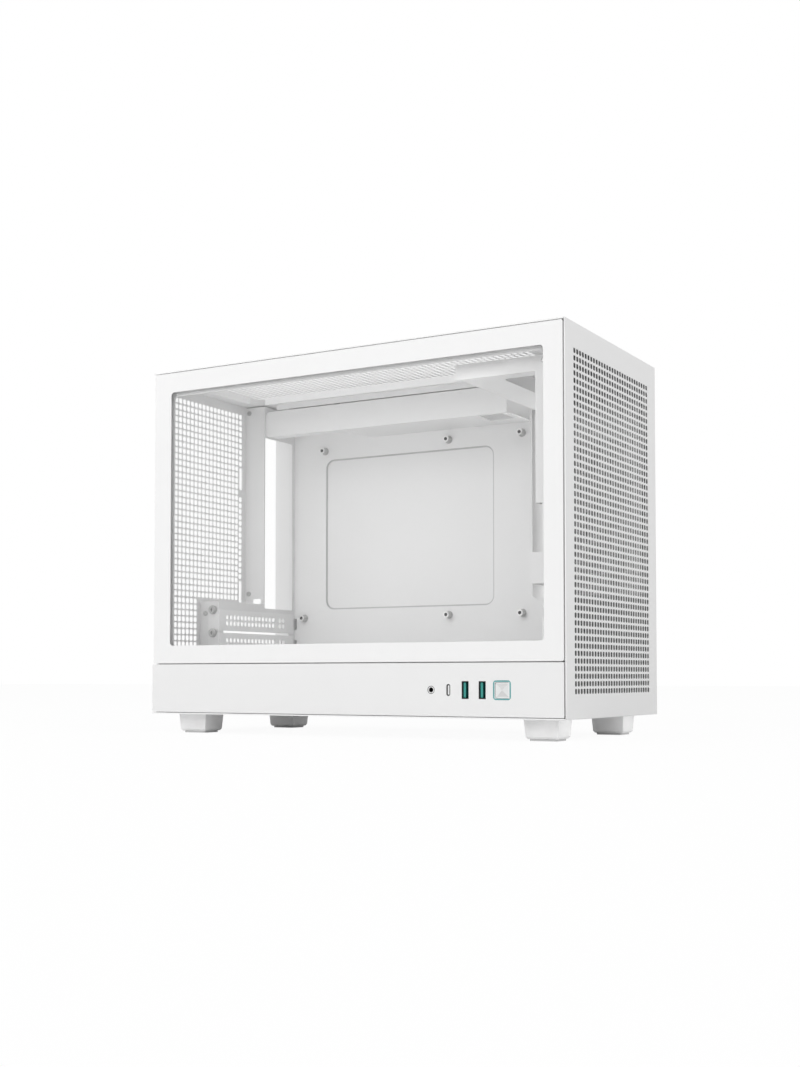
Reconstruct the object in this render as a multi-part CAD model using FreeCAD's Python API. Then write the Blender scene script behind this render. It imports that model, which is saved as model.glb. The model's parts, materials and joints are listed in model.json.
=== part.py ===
import FreeCAD, Part
import os
from math import cos, pi, sin

V = FreeCAD.Vector

# Overall size. X runs from the rear to the mesh front, Y from the glass side to the far side, Z up.
# A length that ends in inset is the distance from the face or the piece that a place is tied to.
case_length = 382.0
case_width = 192.0
case_height = 308.0
foot_height = 16.0

# Sheet thicknesses, seams and clearances
cover = 1.0
steel = 1.0
seam = 0.5
front_seam = 1.1
sill_seam = 0.8
rest_gap = 0.3
screw_gap = 0.1

# Side covers, and the chassis flanges that they rest on
flange_depth = 4.5
flange_width = 12.0
sill_leg = 8.0
cover_fold = 1.0
glass_thickness = 3.0
glass_lap = 7.0
glass_side_lap = 3.4
window_rear_border = 17.35
window_front_border = 15.5
window_top_border = 16.8
window_bottom_border = 15.0
window_corner = 3.0
strip_height = 40.2
strip_thickness = 2.0
strip_fold = 1.2
door_rear_inset = 1.35
side_rear_inset = 1.0

# Panel clips: a barbed stud in a nylon socket
stud_base = 3.2
stud_foot = 1.0
stud_stem = 1.6
stud_ball = 2.6
stud_head_length = 3.0
stud_end_gap = 1.0
socket_bore = 2.9
socket_outer = 4.4
socket_depth = 4.0
door_clip_low = 90.0
door_clip_high_inset = 38.0
side_clip_low = 75.0
side_clip_high_inset = 43.0
front_clip_low = 45.0
front_clip_high_inset = 16.0
top_clip_x_inset = 71.0
clip_near_inset = 5.3
clip_far_inset = 6.0

# Perforation of the covers and the base, coarse
front_columns = 8
front_rows = 14
front_field_near_inset = 15.3
front_field_far_inset = 19.3
front_field_low = 34.4
front_field_high_inset = 19.2
front_bar = 3.0
top_columns = 14
top_rows = 7
top_bar = 4.0
top_field_half_inset = 41.0
top_field_near_inset = 24.0
top_field_far_inset = 34.0
side_columns = 4
side_rows = 8
side_bar = 7.0
side_rib = 8.0
side_field_rear_inset = 96.0
side_field_front_inset = 28.0
side_field_low = 70.0
side_field_high_inset = 58.0
pan_columns = 12
pan_rows = 3
pan_bar = 9.0
pan_rib = 14.0
pan_field_half_inset = 61.0
pan_field_near_inset = 38.0
pan_field_far_inset = 54.0
hem_inset = 2.0
screen_thickness = 0.5
screen_gap = 0.6
small_sides = 12

# Rear wall: the fan field is on a recessed plane, and a pocket holds the board's connectors
rear_recess = 6.0
pocket_depth = 21.0
pocket_near_inset = 50.0
pocket_low_near_inset = 117.5
pocket_far_inset = 10.0
ledge_height_inset = 146.1
pocket_top_inset = 3.0
fan_pitch = 105.0
fan_slot_width = 4.3
fan_slot_length = 21.0
fan_y_inset = 63.0
fan_z_inset = 121.7
fan_bar = 3.2
fan_field_top_inset = 10.0
fan_field_lift = 6.0
fan_field_inset = 4.0
fan_field_border = 13.0
low_field_border = 5.0
aperture_width = 158.75
aperture_height = 44.45
aperture_low_inset = 149.8
aperture_bottom_y_inset = 4.1
access_rear_inset = 15.4
access_front_inset = 24.6
access_high_inset = 5.3
bend_slot_length = 16.8
bend_slot_low_inset = 37.3
bend_slot_high_inset = 113.6
wall_screw_head = 2.2
wall_screw_shank = 1.2
wall_screw_height = 1.1
wall_screw_x_inset = 11.0
wall_screw_high_inset = 4.0
wall_screw_middle_inset = 10.1
wall_screw_low_x_inset = 13.1
wall_screw_low_inset = 10.6

# Expansion slots
slot_pitch = 20.32
slot_top_centre_inset = 162.85
slot_cover_width = 18.4
slot_cover_steel = 0.9
slot_window_far_inset = 9.5
slot_edge = 6.5
tab_length = 11.0
cover_screw_head = 3.9
cover_screw_height = 2.8
cover_screw_shank = 1.6
cover_screw_length = 5.0

# Motherboard tray and its standoffs
tray_y_inset = 18.5
tray_front_inset = 8.8
tray_step_inset = 145.8
emboss_rear_inset = 24.4
emboss_front_inset = 28.2
emboss_low_inset = 149.1
emboss_high_inset = 8.9
emboss_depth = 1.2
emboss_corner = 8.0
tray_hole = 2.0
slot_tab_half = 5.0
blade_gap = 2.5
slot_field_near_inset = 9.7
slot_field_far_inset = 18.0
slot_row_low = 0.7
slot_row_high = 4.9
slot_screw_lift = 9.0
slot_bar = 2.0
tray_hole_x_inset = 11.7
tray_hole_z_inset = 6.2
cable_slot_rear_inset = 9.7
cable_slot_front_inset = 32.8
cable_slot_low_inset = 35.5
cable_slot_high_inset = 14.8
standoff_height = 6.4
standoff_radius = 2.9
standoff_hole = 1.3
standoff_stem = 2.1
standoff_flare = 0.7
standoff_collar = 1.2
board_rear_x_inset = 40.1
board_rear_top_x_inset = 22.9
board_middle_x_inset = 154.9
board_front_x_inset = 72.4
board_top_z_inset = 39.9
board_height = 157.48
board_lower_row = 45.72

# Cable shelf over the board
shelf_front_inset = 1.2
shelf_near_inset = 47.5
shelf_low_inset = 30.6
shelf_high_inset = 23.5
shelf_notch_inset = 12.0
shelf_step_inset = 78.0
shelf_bevel = 8.0
shelf_corner = 4.0
shelf_setback = 6.0
shelf_lip = 8.0
shelf_slot_rear_inset = 29.5
shelf_slot_front_inset = 5.0
shelf_slot_near_inset = 3.0
shelf_slot_far_inset = 30.0

# Power supply bracket
bracket_rear_inset = 98.0
bracket_near_inset = 16.0
bracket_far_inset = 28.0
bracket_low_inset = 25.3
bracket_high_inset = 11.7
bracket_arm = 34.0
bracket_fold = 4.0
bracket_border = 14.0
bracket_front_border = 9.0
bracket_screw = 1.7
bracket_screw_x_inset = 24.5
bracket_screw_drop = 4.5
pillar_rear_inset = 31.0
pillar_low = 176.0
pillar_fold = 10.0
rest_rear_inset = 35.4
rest_low = 117.0
rest_high = 139.4
rest_depth = 22.0
rest_lip = 6.0

# Top frame
frame_top_inset = 8.0
opening_rear_inset = 35.0
opening_front_inset = 51.0
opening_near_inset = 16.0
opening_far_inset = 91.0
rail_far_inset = 65.0
rail_slot_near_inset = 11.0
rail_slot_far_inset = 15.3
rail_slots = 6
rail_bar = 24.0
rail_slot_rear_inset = 16.0
rail_slot_front_inset = 15.0
opening_lip = 5.0
front_window_half_inset = 22.0
front_window_lift = 15.0
front_window_corner = 6.0

# Front ports on the lower strip
port_z = 37.3
jack_x_inset = 110.8
usb_c_x_inset = 96.0
usb_a_rear_x_inset = 81.8
usb_a_front_x_inset = 67.6
button_x_inset = 51.4
jack_outer = 3.1
jack_bore = 1.8
usb_a_width = 5.9
usb_a_height = 13.3
usb_c_width = 3.3
usb_c_height = 9.0
usb_c_wall = 0.4
usb_c_inset = 0.3
port_clearance = 0.05
port_floor = 6.0
port_wall = 0.5
port_depth = 16.0
board_gap = 16.4
io_board_thickness = 1.6
io_board_margin = 16.0
io_board_half = 14.5
io_post = 2.2
io_post_margin = 12.5
io_post_half = 10.5
header_rear = 4.0
header_front = 16.0
header_depth = 8.0
header_half = 6.0
jack_body = 3.5
jack_block = 10.0
jack_floor = 2.0
tongue_thickness = 1.9
tongue_half = 5.6
tongue_gap = 0.5
shell_inset = 0.3
tongue_inset = 1.4
shell_floor = 3.0
cutout_rear = 8.0
cutout_front = 9.0
cutout_half = 13.0
cutout_corner = 3.0
switch_half = 3.0
switch_body = 3.4
switch_plunger = 1.6
switch_height = 4.3
button_size = 11.3
button_band = 0.5
button_inset = 1.1
button_point = 0.9
button_ring = 14.6
button_gap = 0.25
button_corner = 2.4
button_ring_corner = 1.3
button_stem = 1.9
ring_depth = 8.0
ring_floor = 1.2
button_travel = 1.2

# Feet
foot_length = 28.0
foot_width = 25.0
foot_taper = 2.0
foot_pad = 1.5
foot_chamfer = 1.6
foot_edge = 1.2
foot_bore = 8.0
pad_inset = 4.0
pad_corner = 2.0
foot_screw_head = 3.2
foot_screw_height = 2.0
foot_screw_length = 8.5
foot_front_x_inset = 24.6
foot_rear_x_inset = 35.6
foot_near_y_inset = 22.5
foot_far_y_inset = 38.2

# Power inlet low on the rear wall
inlet_y_inset = 30.0
inlet_z = 45.0
inlet_width = 20.0
inlet_height = 27.0
inlet_depth = 18.0
inlet_wall = 1.6
inlet_ear = 11.5
inlet_flange = 2.2
inlet_screw_pitch = 40.0
inlet_screw = 1.5
inlet_screw_head = 3.0
inlet_screw_height = 1.8
inlet_screw_length = 6.0
inlet_border = 1.5
inlet_corner = 3.0
pin_half_width = 2.0
pin_half_height = 1.0
pin_offset = 2.0
pin_pitch = 7.0
pin_inset = 4.0

# Places worked out from the sizes above
x_rear = -case_length / 2
x_front = case_length / 2
y_glass = -case_width / 2
y_far = case_width / 2
z_pan = foot_height
z_top = case_height
frame_top = z_top - frame_top_inset
board_top_z = frame_top - board_top_z_inset
ledge_height = board_top_z - ledge_height_inset
pocket_top = frame_top - pocket_top_inset
fan_z = frame_top - fan_z_inset
fan_field_top = frame_top - fan_field_top_inset
aperture_low = board_top_z - aperture_low_inset
access_high = ledge_height + access_high_inset
bend_slot_low = ledge_height + bend_slot_low_inset
bend_slot_high = ledge_height + bend_slot_high_inset
wall_screw_high = pocket_top - wall_screw_high_inset
wall_screw_middle = ledge_height + wall_screw_middle_inset
wall_screw_low = ledge_height - wall_screw_low_inset
slot_top_centre = board_top_z - slot_top_centre_inset
emboss_low = board_top_z - emboss_low_inset
emboss_high = board_top_z - emboss_high_inset
tray_step = board_top_z - tray_step_inset
tray_hole_z = tray_step - tray_hole_z_inset
cable_slot_low = tray_step - cable_slot_low_inset
cable_slot_high = tray_step - cable_slot_high_inset
shelf_low = frame_top - shelf_low_inset
shelf_high = shelf_low + shelf_high_inset
bracket_low = frame_top - bracket_low_inset
bracket_high = bracket_low + bracket_high_inset
front_field_high = z_top - front_field_high_inset
side_field_high = z_top - side_field_high_inset
door_clip_high = z_top - door_clip_high_inset
side_clip_high = z_top - side_clip_high_inset
front_clip_high = z_top - front_clip_high_inset
top_clip_x = x_front - top_clip_x_inset
top_field_half = x_front - top_field_half_inset
pan_field_half = x_front - pan_field_half_inset
side_field_rear = x_front - side_field_rear_inset
side_field_front = x_front - side_field_front_inset
access_rear = x_rear + access_rear_inset
access_front = x_rear + access_front_inset
wall_screw_x = x_rear + wall_screw_x_inset
wall_screw_low_x = x_rear + wall_screw_low_x_inset
board_rear_x = x_rear + board_rear_x_inset
board_rear_top_x = board_rear_x + board_rear_top_x_inset
board_middle_x = board_rear_x + board_middle_x_inset
board_front_x = board_middle_x + board_front_x_inset
emboss_rear = board_rear_x + emboss_rear_inset
emboss_front = board_front_x - emboss_front_inset
tray_front = board_front_x + tray_front_inset
shelf_front = tray_front - shelf_front_inset
shelf_step = board_middle_x - shelf_step_inset
shelf_slot_rear = shelf_front - shelf_slot_rear_inset
shelf_slot_front = shelf_front - shelf_slot_front_inset
tray_hole_x = tray_front + tray_hole_x_inset
cable_slot_rear = tray_front + cable_slot_rear_inset
cable_slot_front = tray_front + cable_slot_front_inset
bracket_rear = x_front - bracket_rear_inset
bracket_screw_x = x_front - bracket_screw_x_inset
pillar_rear = x_front - pillar_rear_inset
rest_rear = x_front - rest_rear_inset
opening_rear = x_rear + opening_rear_inset
opening_front = x_front - opening_front_inset
rail_slot_rear = opening_rear + rail_slot_rear_inset
rail_slot_front = opening_front - rail_slot_front_inset
jack_x = x_front - jack_x_inset
usb_c_x = x_front - usb_c_x_inset
usb_a_rear_x = x_front - usb_a_rear_x_inset
usb_a_front_x = x_front - usb_a_front_x_inset
button_x = x_front - button_x_inset
foot_front_x = x_front - foot_front_x_inset
foot_rear_x = x_rear + foot_rear_x_inset
foot_near_y = y_glass + foot_near_y_inset
foot_far_y = y_far - foot_far_y_inset
pan_field_near = y_glass + pan_field_near_inset
pan_field_far = y_far - pan_field_far_inset
top_field_near = y_glass + top_field_near_inset
top_field_far = y_far - top_field_far_inset
front_field_near = y_glass + front_field_near_inset
front_field_far = y_far - front_field_far_inset
tray_y = y_far - tray_y_inset
pocket_near = tray_y - pocket_near_inset
pocket_low_near = tray_y - pocket_low_near_inset
pocket_far = y_far - pocket_far_inset
fan_y = y_glass + fan_y_inset
aperture_bottom_y = tray_y - aperture_bottom_y_inset
slot_window_far = tray_y - slot_window_far_inset
slot_field_near = pocket_low_near + slot_field_near_inset
slot_field_far = tray_y - slot_field_far_inset
shelf_near = tray_y - shelf_near_inset
shelf_notch = shelf_near + shelf_notch_inset
shelf_slot_near = shelf_near + shelf_slot_near_inset
shelf_slot_far = shelf_near + shelf_slot_far_inset
bracket_near = y_glass + bracket_near_inset
bracket_far = y_far - bracket_far_inset
opening_near = y_glass + opening_near_inset
opening_far = y_far - opening_far_inset
rail_far = y_far - rail_far_inset
rail_slot_near = opening_far + rail_slot_near_inset
rail_slot_far = opening_far + rail_slot_far_inset
front_window_half = y_far - front_window_half_inset
inlet_y = y_glass + inlet_y_inset
x_cover = x_front - cover
door_front = x_cover - front_seam
door_rear = x_rear + door_rear_inset
strip_low = z_pan + steel + seam
strip_high = strip_low + strip_height
door_low = strip_high + sill_seam
door_high = z_top - cover - seam
near_face = y_glass + flange_depth
far_face = y_far - flange_depth
frame_front = x_cover - 3.5
frame_rear = x_rear + rear_recess
wall_in = frame_rear + steel
pocket_in = wall_in + pocket_depth
pan_in = z_pan + steel
side_in = near_face + steel
far_in = far_face - steel
top_in = frame_top - steel
front_in = frame_front - steel
aperture_near_y = aperture_bottom_y - aperture_height
glass_back = y_glass + cover + glass_thickness
board_y = y_glass + board_gap
slot_count = int((ledge_height - pan_in) / slot_pitch)


def box(x0, x1, y0, y1, z0, z1):
    return Part.makeBox(x1 - x0, y1 - y0, z1 - z0, V(x0, y0, z0))


def rod(axis, radius, start, length):
    return Part.makeCylinder(radius, length, V(*start), direction(axis))


def rounded(x0, x1, y0, y1, z0, z1, axis, radius):
    """A block whose four edges along one axis are rounded."""
    block = box(x0, x1, y0, y1, z0, z1)
    along = direction(axis)
    edges = [e for e in block.Edges if abs(abs(e.tangentAt(e.FirstParameter).dot(along)) - 1) < 1e-6]
    return block.makeFillet(radius, edges)


def prism(step, radius, start, length):
    """A small bar with a regular outline, in place of a round one."""
    return Part.Face(outline(step, radius, start)).extrude(step * length)


def outline(step, radius, centre):
    turn = FreeCAD.Rotation(V(0, 0, 1), step)
    angles = [2 * pi * i / small_sides for i in range(small_sides)]
    points = [turn.multVec(V(radius * cos(a), radius * sin(a), 0)) + V(*centre) for a in angles]
    return Part.makePolygon(points + points[:1])


def taper(step, first, second, start, length):
    """A small bar whose radius changes along its length."""
    end = V(*start) + step * length
    return Part.makeLoft([outline(step, first, start), outline(step, second, end)], True, True)


def direction(axis, sign=1):
    return {"x": V(sign, 0, 0), "y": V(0, sign, 0), "z": V(0, 0, sign)}[axis]


def fuse(shapes):
    whole = shapes[0]
    if len(shapes) > 1:
        whole = whole.fuse(shapes[1:])
    return whole.removeSplitter()


def group(shapes):
    return Part.makeCompound(shapes)


def spread(low, high, count, bar):
    """Even gaps between two limits: pairs of ends, with a bar of metal between neighbours."""
    count = max(0, min(count, int((high - low) / bar)))
    width = (high - low - bar * (count - 1)) / count
    return [(low + i * (width + bar), low + i * (width + bar) + width) for i in range(count)]


def gaps_x(x0, x1, y_pairs, z_pairs):
    return [box(x0, x1, y[0], y[1], z[0], z[1]) for y in y_pairs for z in z_pairs]


def gaps_y(y0, y1, x_pairs, z_pairs):
    return [box(x[0], x[1], y0, y1, z[0], z[1]) for x in x_pairs for z in z_pairs]


def gaps_z(z0, z1, x_pairs, y_pairs):
    return [box(x[0], x[1], y[0], y[1], z0, z1) for x in x_pairs for y in y_pairs]


def door_corners():
    x_pair = (wall_in + socket_outer + screw_gap, front_in - socket_outer - rest_gap)
    return [(x, z) for x in x_pair for z in (door_clip_low, door_clip_high)]


def side_corners():
    x_pair = (wall_in + flange_width / 2, front_in - flange_width / 2)
    return [(x, z) for x in x_pair for z in (side_clip_low, side_clip_high)]


def top_corners():
    y_pair = (side_in + clip_near_inset, far_in - clip_far_inset)
    return [(x, y) for x in (-top_clip_x, top_clip_x) for y in y_pair]


def front_corners():
    y_pair = (side_in + clip_near_inset + 2 * steel, far_in - clip_far_inset)
    return [(y, z) for y in y_pair for z in (front_clip_low, front_clip_high)]


def stud(axis, base, sign, reach):
    """A clip stud: a flat base, a stem and a barbed head, along one axis from the base point."""
    step = direction(axis, sign)
    barb = stud_head_length / 3
    shoulder = V(*base) + step * (reach - stud_head_length)
    return fuse([prism(step, stud_base, base, stud_foot),
                 prism(step, stud_stem, base, reach - stud_head_length),
                 taper(step, stud_stem, stud_ball, shoulder, barb),
                 taper(step, stud_ball, stud_stem, shoulder + step * barb, stud_head_length - barb)])


def socket(axis, face, sign):
    """A nylon ring pressed into a flange, its collar outside the flange's inner face."""
    step = direction(axis, sign)
    ring = prism(step, socket_outer, face, socket_depth)
    return ring.cut(prism(step, socket_bore, face, socket_depth))


def through(axis, centre, radius):
    """A cutter that passes right through one sheet, for a screw."""
    reach = 3 * steel
    start = V(*centre) - direction(axis) * reach
    return rod(axis, radius, start, 2 * reach)


def clip_hole(axis, centre):
    """A cutter for the seat of a clip's socket."""
    reach = 3 * steel
    return prism(direction(axis), socket_outer, V(*centre) - direction(axis) * reach, 2 * reach)


def base_pan():
    pan = box(x_rear, x_cover - rest_gap, y_glass, y_far, z_pan, pan_in)
    vent_x = spread(-pan_field_half, pan_field_half, pan_columns, pan_bar)
    vent_y = spread(pan_field_near, pan_field_far, pan_rows, pan_rib)
    cuts = gaps_z(z_pan, pan_in, vent_x, vent_y)
    cuts += [through("z", (x, y, z_pan), cover_screw_shank + screw_gap) for x, y in foot_places()]
    return pan.cut(cuts)


def far_sill():
    """An angle on the base plate, which the far cover's lower edge lies against."""
    upright = box(wall_in, front_in, far_in, far_face, pan_in, pan_in + flange_width)
    leg = box(pocket_in + steel, front_in, far_in - sill_leg, far_in, pan_in, pan_in + steel)
    return fuse([upright, leg])


def side_frame():
    """The stamped frame behind the glass cover, with the sill that carries the front ports."""
    low = door_low + window_bottom_border - 2.0
    sheet = box(wall_in, front_in, near_face, side_in, pan_in, frame_top)
    window = rounded(wall_in + flange_width, front_in - flange_width, near_face, side_in,
                     low, top_in - flange_width, "y", 4.0)
    ports = rounded(jack_x - cutout_rear, button_x + cutout_front, near_face, side_in, port_z - cutout_half,
                    port_z + cutout_half, "y", cutout_corner)
    cuts = [window, ports]
    cuts += [clip_hole("y", (x, near_face, z)) for x, z in door_corners()]
    return sheet.cut(cuts)


def pocket_cavity(offset):
    """The space of the connector pocket, grown inwards by the sheet when the offset is the sheet."""
    high = box(x_rear, pocket_in - steel + offset, pocket_near + steel - offset, pocket_far + offset,
               pan_in, pocket_top + offset)
    low = box(x_rear, pocket_in - steel + offset, pocket_low_near + steel - offset, pocket_far + offset,
              pan_in, ledge_height - steel + offset)
    return fuse([high, low])


def fan_slot(y, z):
    """One upright slot with round ends, for a fan screw."""
    radius = fan_slot_width / 2
    run = fan_slot_length / 2 - radius
    ends = [rod("x", radius, (frame_rear, y, z + side * run), steel) for side in (-1, 1)]
    return fuse([box(frame_rear, wall_in, y - radius, y + radius, z - run, z + run)] + ends)


def fan_gaps():
    """Coarse gaps of the fan field, which stops above the connector pocket's ledge on its far part."""
    near = fan_y - fan_pitch / 2 + fan_field_inset
    y_high = spread(near, pocket_near - fan_field_border, 5, fan_bar)
    z_high = spread(ledge_height + fan_field_lift, fan_field_top, 9, fan_bar)
    y_low = spread(near, pocket_low_near - low_field_border, 2, fan_bar)
    z_low = spread(inlet_z + inlet_height / 2 + inlet_ear + fan_bar, ledge_height + fan_field_lift - fan_bar,
                   2, fan_bar)
    cuts = gaps_x(frame_rear, wall_in, y_high, z_high) + gaps_x(frame_rear, wall_in, y_low, z_low)
    for y in (fan_y - fan_pitch / 2, fan_y + fan_pitch / 2):
        for z in (fan_z - fan_pitch / 2, fan_z + fan_pitch / 2):
            cuts.append(fan_slot(y, z))
    return cuts


def rear_wall():
    """The recessed rear sheet with the fan field and the inlet's hole, beside the connector pocket."""
    upper = box(frame_rear, wall_in, side_in, pocket_near, ledge_height, top_in)
    lower = box(frame_rear, wall_in, side_in, pocket_low_near, pan_in, ledge_height)
    inlet = box(frame_rear, wall_in, inlet_y - inlet_width / 2, inlet_y + inlet_width / 2,
                inlet_z - inlet_height / 2, inlet_z + inlet_height / 2)
    cuts = fan_gaps() + [inlet]
    cuts += [through("x", (wall_in, inlet_y, z), inlet_screw + screw_gap) for z in inlet_screw_heights()]
    return fuse([upper, lower]).cut(cuts)


def rear_post():
    """The angle on the pocket's far side, which the far cover's rear edge lies against."""
    strip = box(frame_rear, wall_in, pocket_far + steel, far_face, pan_in, top_in)
    flange = box(wall_in, wall_in + flange_width, far_in, far_face, pan_in + flange_width + 2 * steel,
                 top_in - flange_width)
    return fuse([strip, flange]).cut([clip_hole("y", (x, far_in, z)) for x, z in side_corners()[:2]])


def rear_rim():
    """The folded rim round the recessed rear."""
    outer = box(x_rear, frame_rear, side_in, far_face, pan_in, top_in)
    inner = box(x_rear, frame_rear, side_in + steel, far_in, pan_in + steel, top_in - steel)
    return outer.cut([inner, pocket_cavity(steel)])


def rear_pocket():
    """The deep pocket of the connector window and the expansion slots, with its ledge and its two side walls."""
    pocket = pocket_cavity(steel).common(box(x_rear, pocket_in, side_in, far_in, pan_in, top_in))
    pocket = pocket.cut(pocket_cavity(0.0))
    pocket = pocket.cut(box(x_rear, frame_rear, side_in, pocket_far, pan_in, top_in))
    aperture = rounded(pocket_in - steel, pocket_in, aperture_near_y, aperture_bottom_y,
                       aperture_low, aperture_low + aperture_width, "x", 1.0)
    slots = box(pocket_in - steel, pocket_in, pocket_low_near + slot_edge, slot_window_far,
                slot_centre(slot_count - 1) - slot_cover_width / 2 + 2 * steel,
                slot_centre(0) + slot_cover_width / 2)
    access = rounded(access_rear, access_front, pocket_near, pocket_near + steel, ledge_height + 0.5,
                     access_high, "y", 1.5)
    cuts = [aperture, slots, access]
    for i in range(slot_count):
        cuts.append(through("y", (tab_screw_x(), pocket_low_near, slot_screw_z(i)), cover_screw_shank + screw_gap))
    for low in (bend_slot_low, bend_slot_high):
        cuts.append(box(frame_rear, wall_in, pocket_near, pocket_near + steel, low, low + bend_slot_length))
    cuts += [through("y", seat, wall_screw_shank + screw_gap) for seat in wall_screw_seats()]
    return pocket.cut(cuts)


def wall_screw_seats():
    seats = [(wall_screw_x, pocket_near, z) for z in (wall_screw_high, wall_screw_middle)]
    return seats + [(wall_screw_low_x, pocket_low_near, wall_screw_low)]


def pocket_screws():
    """Small screws through the pocket's two near walls, with their heads inside the case."""
    return group([machine_screw("y", seat, -1, wall_screw_head, wall_screw_shank, wall_screw_height, steel)
                  for seat in wall_screw_seats()])


def slot_centre(i):
    return slot_top_centre - i * slot_pitch


def slot_screw_z(i):
    return slot_centre(i) + slot_screw_lift


def tab_screw_x():
    return pocket_in - tab_length / 2


def slot_cover(i):
    """One blanking plate: a perforated blade on the pocket's inner face, and a tab for its screw."""
    half = slot_cover_width / 2
    z = slot_centre(i)
    near = pocket_low_near - slot_cover_steel
    blade = box(pocket_in, pocket_in + slot_cover_steel, near, tray_y - blade_gap, z - half, z + half)
    tab = box(pocket_in - tab_length, pocket_in, near, pocket_low_near, z - half, z + half)
    cuts = gaps_x(pocket_in, pocket_in + slot_cover_steel, spread(slot_field_near, slot_field_far, 6, slot_bar),
                  [(z - slot_row_high, z - slot_row_low), (z + slot_row_low, z + slot_row_high)])
    notch = through("y", (tab_screw_x(), near, slot_screw_z(i)), cover_screw_shank + screw_gap)
    above = through("y", (tab_screw_x(), near, slot_screw_z(i) - slot_pitch), cover_screw_shank + screw_gap)
    return fuse([blade, tab]).cut(cuts + [notch, above])


def machine_screw(axis, seat, sign, head, shank, head_height, length):
    """A pan-head screw: its head stands on the seat, and its shank goes the other way."""
    step = direction(axis, sign)
    return fuse([prism(step, head, seat, head_height), prism(step * -1, shank, seat, length)])


def slot_screws():
    near = pocket_low_near - slot_cover_steel
    screws = []
    for i in range(slot_count):
        seat = (tab_screw_x(), near, slot_screw_z(i))
        screws.append(machine_screw("y", seat, -1, cover_screw_head, cover_screw_shank, cover_screw_height,
                                    cover_screw_length))
    return group(screws)


def front_frame():
    sheet = box(front_in, frame_front, side_in, far_face, pan_in, top_in)
    window = rounded(front_in, frame_front, -front_window_half, front_window_half, pan_in + front_window_lift,
                     bracket_low - 2 * steel, "x", front_window_corner)
    flange = box(front_in - flange_width, front_in, far_in, far_face, pan_in + flange_width + 2 * steel,
                 top_in - flange_width)
    head = box(front_in - flange_width, front_in, side_in, far_in, top_in - steel, top_in)
    sill = box(front_in - flange_width, front_in, side_in, tray_y, pan_in, pan_in + steel)
    frame = fuse([sheet, flange, head, sill])
    cuts = [window]
    cuts += [clip_hole("x", (frame_front, y, z)) for y, z in front_corners()]
    cuts += [clip_hole("y", (x, far_in, z)) for x, z in side_corners()[2:]]
    return frame.cut(cuts)


def top_frame():
    """The upper frame: a wide fan opening, a beaded rail along it, and a cable opening over the shelf."""
    sheet = box(frame_rear, frame_front, side_in, far_in, top_in, frame_top)
    corner = 2 * opening_lip
    opening = rounded(opening_rear, opening_front, opening_near, opening_far, top_in, frame_top, "z", corner)
    cable = rounded(opening_rear, opening_front, rail_far, far_in - flange_width, top_in, frame_top,
                    "z", opening_lip)
    lip_low = top_in - opening_lip
    near_lip = box(opening_rear + corner, opening_front - corner, opening_far, opening_far + steel,
                   lip_low, top_in)
    far_lip = box(opening_rear + opening_lip, opening_front - opening_lip, rail_far - steel, rail_far,
                  lip_low, top_in)
    rear_lip = box(opening_rear - steel, opening_rear, opening_near + corner, opening_far - corner,
                   lip_low, top_in)
    far_flange = box(wall_in, front_in, far_in, far_face, top_in - flange_width, frame_top)
    frame = fuse([sheet, near_lip, far_lip, rear_lip, far_flange])
    slots = gaps_z(top_in, frame_top, spread(rail_slot_rear, rail_slot_front, rail_slots, rail_bar),
                   [(rail_slot_near, rail_slot_far)])
    cuts = [opening, cable] + slots
    cuts += [clip_hole("z", (x, y, frame_top)) for x, y in top_corners()]
    return frame.cut(cuts)


def motherboard_tray():
    back = tray_y + steel
    sheet = box(pocket_in, tray_front, tray_y, back, pan_in, top_in)
    foot = box(tray_front, front_in, tray_y, back, pan_in, tray_step)
    ease = box(tray_front, tray_front + 5.0, tray_y, back, tray_step, tray_step + 5.0).cut(
        rod("y", 5.0, (tray_front + 5.0, tray_y, tray_step + 5.0), steel))
    rim = rounded(emboss_rear - steel, emboss_front + steel, tray_y, back + emboss_depth, emboss_low - steel,
                  emboss_high + steel, "y", emboss_corner + steel)
    hollow = rounded(emboss_rear, emboss_front, tray_y, tray_y + emboss_depth, emboss_low, emboss_high,
                     "y", emboss_corner)
    tray = fuse([sheet, foot, ease, rim]).cut(hollow)
    cable_slot = rounded(cable_slot_rear, cable_slot_front, tray_y, back, cable_slot_low, cable_slot_high,
                         "y", tray_hole)
    cuts = [through("y", (tray_hole_x, tray_y, tray_hole_z), tray_hole), cable_slot]
    for i in range(slot_count):
        z = slot_centre(i)
        cuts.append(box(pocket_in, pocket_in + 3 * slot_cover_steel, tray_y, back,
                        z - slot_tab_half, z + slot_tab_half))
    cuts += [through("y", (x, tray_y, z), standoff_stem + screw_gap) for x, z in standoff_places()]
    return tray.cut(cuts)


def standoff_places():
    low = board_top_z - board_height
    row = low - board_lower_row
    places = [(board_rear_top_x, board_top_z), (board_rear_x, low)]
    places += [(x, z) for x in (board_middle_x, board_front_x) for z in (board_top_z, low)]
    places += [(x, row) for x in (board_rear_x, board_middle_x, board_front_x) if row > pan_in + flange_width]
    return places


def tray_standoffs():
    """Tapped posts with a flared collar, riveted into the tray."""
    posts = []
    toward = direction("y", -1)
    for x, z in standoff_places():
        near = tray_y - standoff_height
        collar = taper(toward, standoff_radius + standoff_flare, standoff_radius, (x, tray_y, z), standoff_collar)
        body = prism(toward, standoff_radius, (x, tray_y, z), standoff_height)
        stem = prism(direction("y"), standoff_stem, (x, tray_y, z), steel + stud_foot / 2)
        hole = rod("y", standoff_hole, (x, near, z), standoff_height - standoff_collar)
        posts.append(fuse([body, collar, stem]).cut(hole))
    return group(posts)


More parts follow.
